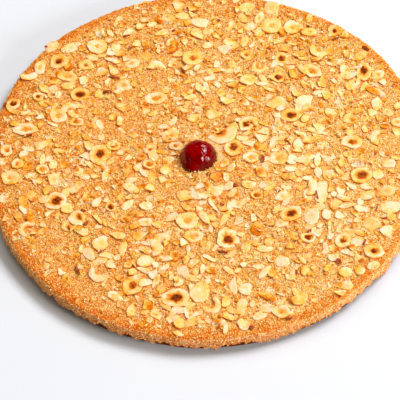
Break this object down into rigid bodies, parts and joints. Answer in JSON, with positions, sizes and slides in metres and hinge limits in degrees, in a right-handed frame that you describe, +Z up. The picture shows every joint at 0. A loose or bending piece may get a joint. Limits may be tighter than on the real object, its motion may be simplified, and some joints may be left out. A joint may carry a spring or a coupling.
{
  "type": "basbousa",
  "caption": "Round uncut semolina cake, low and pan-baked, set with sliced and chopped hazelnuts, with a glazed cherry at its middle.",
  "frame": {"origin": "middle of the flat base, on the surface that the cake stands on", "axes": "+Z up, +X to the right and -Y towards the front as pictured"},
  "size_m": [0.2592, 0.2593, 0.0228],
  "materials": {
    "semolina_crumb": "baked grainy semolina, golden, browned at the foot of its side",
    "toasted_hazelnut": "pale sliced and chopped hazelnut, toasted golden to dark brown round its hollow",
    "glazed_cherry": "dark red, wet-looking sugar glaze"
  },
  "bodies": {
    "root": {"cake": "semolina_crumb", "cherry": "glazed_cherry"}
  },
  "joints": []
}
